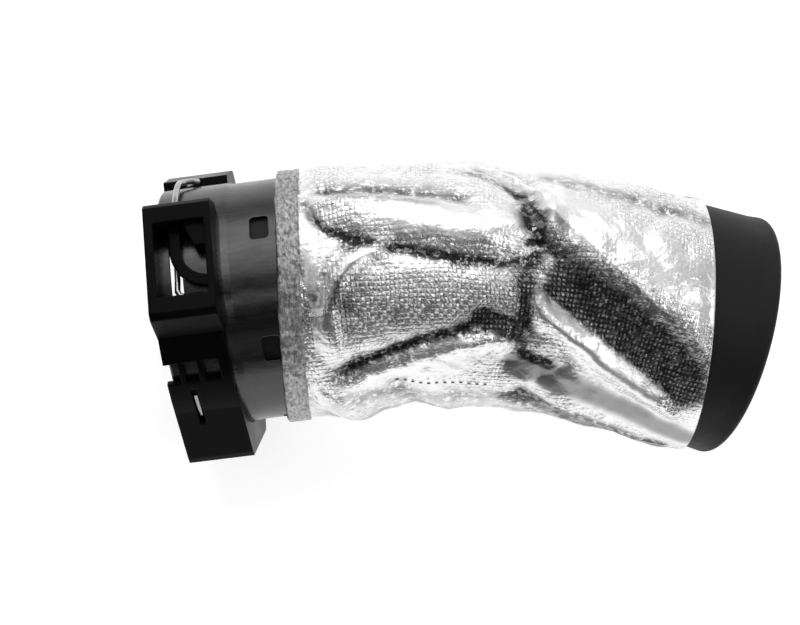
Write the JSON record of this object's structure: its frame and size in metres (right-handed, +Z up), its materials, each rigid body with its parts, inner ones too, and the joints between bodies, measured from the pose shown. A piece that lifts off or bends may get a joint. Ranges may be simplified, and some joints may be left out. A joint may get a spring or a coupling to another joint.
{
  "type": "turbocharger intake hose",
  "caption": "Bent rubber intake hose in a foil heat-shield sleeve, with a steel quick coupling, plastic clip carrier and spring wire at one end and a moulded cuff at the other.",
  "frame": {"origin": "centre of the coupling's mouth, on the axis of the steel collar", "axes": "+X runs along the hose from the coupling to the cuff, over the floor; +Z is up when the hose lies at rest; +Y completes the right-handed frame, and the hose bends away from it. The collar's axis rises by 9.8 degrees towards the hose."},
  "size_m": [0.1896, 0.1015, 0.0876],
  "materials": {
    "dark_steel": "glossy rolled steel, darkened",
    "black_plastic": "moulded, fine satin grain",
    "spring_steel": "bright drawn wire",
    "seal_rubber": "smooth moulded rubber",
    "bright_steel": "plain rolled sheet",
    "black_rubber": "matt moulded rubber",
    "foil_cloth": "aluminium foil on woven glass cloth, crumpled",
    "foil_tape": "crinkled bright foil tape"
  },
  "bodies": {
    "root": {"coupling_collar": "dark_steel", "clip_carrier": "black_plastic", "spring_clip": "spring_steel", "seal_ring": "seal_rubber", "support_ferrule": "bright_steel", "rubber_hose": "black_rubber", "heat_shield_sleeve": "foil_cloth", "sleeve_tape": "foil_tape"}
  },
  "joints": []
}
